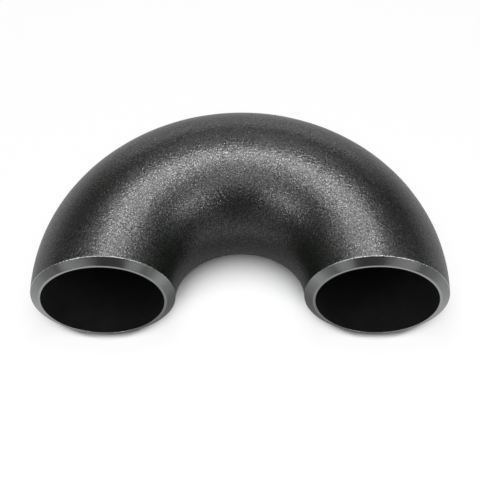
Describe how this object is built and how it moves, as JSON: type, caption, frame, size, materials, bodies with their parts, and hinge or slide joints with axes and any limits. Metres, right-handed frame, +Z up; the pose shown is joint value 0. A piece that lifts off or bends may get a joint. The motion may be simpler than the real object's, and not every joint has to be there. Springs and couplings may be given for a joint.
{
  "type": "return bend",
  "caption": "Half-circle steel pipe bend that turns a pipe run back on itself, with open bevelled ends for butt welding.",
  "frame": {"origin": "on the floor under the middle of the fitting's length and width", "axes": "+X across the legs, -Y out of the open ends and +Y towards the crown, +Z up from the floor that the bend lies on"},
  "size_m": [0.3112, 0.1588, 0.108],
  "materials": {
    "black_coating": "satin, finely grained"
  },
  "bodies": {
    "root": {"return_bend": "black_coating"}
  },
  "joints": []
}
